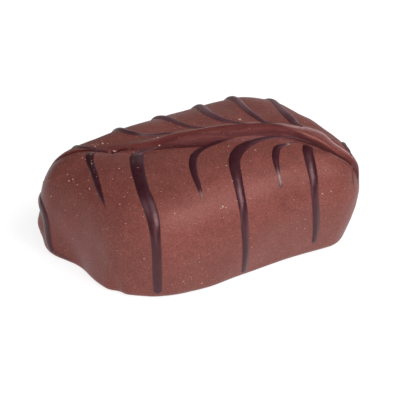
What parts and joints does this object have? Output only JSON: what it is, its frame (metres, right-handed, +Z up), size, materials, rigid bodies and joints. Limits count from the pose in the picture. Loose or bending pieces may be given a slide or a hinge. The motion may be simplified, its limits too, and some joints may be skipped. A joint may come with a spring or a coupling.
{
  "type": "milk chocolate praline",
  "caption": "Hand-dipped milk chocolate praline, a rounded skewed block with a drawn fold over its crown and thin dark chocolate lines; it rests on its flat base.",
  "frame": {"origin": "middle of the bounding box on the surface that the praline rests on", "axes": "+X along the long sides towards the end that the fold runs out to, +Y away from the side that the picture shows, +Z up"},
  "size_m": [0.0352, 0.023, 0.0153],
  "materials": {
    "milk_chocolate": "satin milk chocolate with a soft sheen and tiny pale specks",
    "dark_chocolate": "semi-gloss dark chocolate",
    "pale_crumb": "matt pale crumbs"
  },
  "bodies": {
    "root": {"praline": "milk_chocolate"}
  },
  "joints": []
}
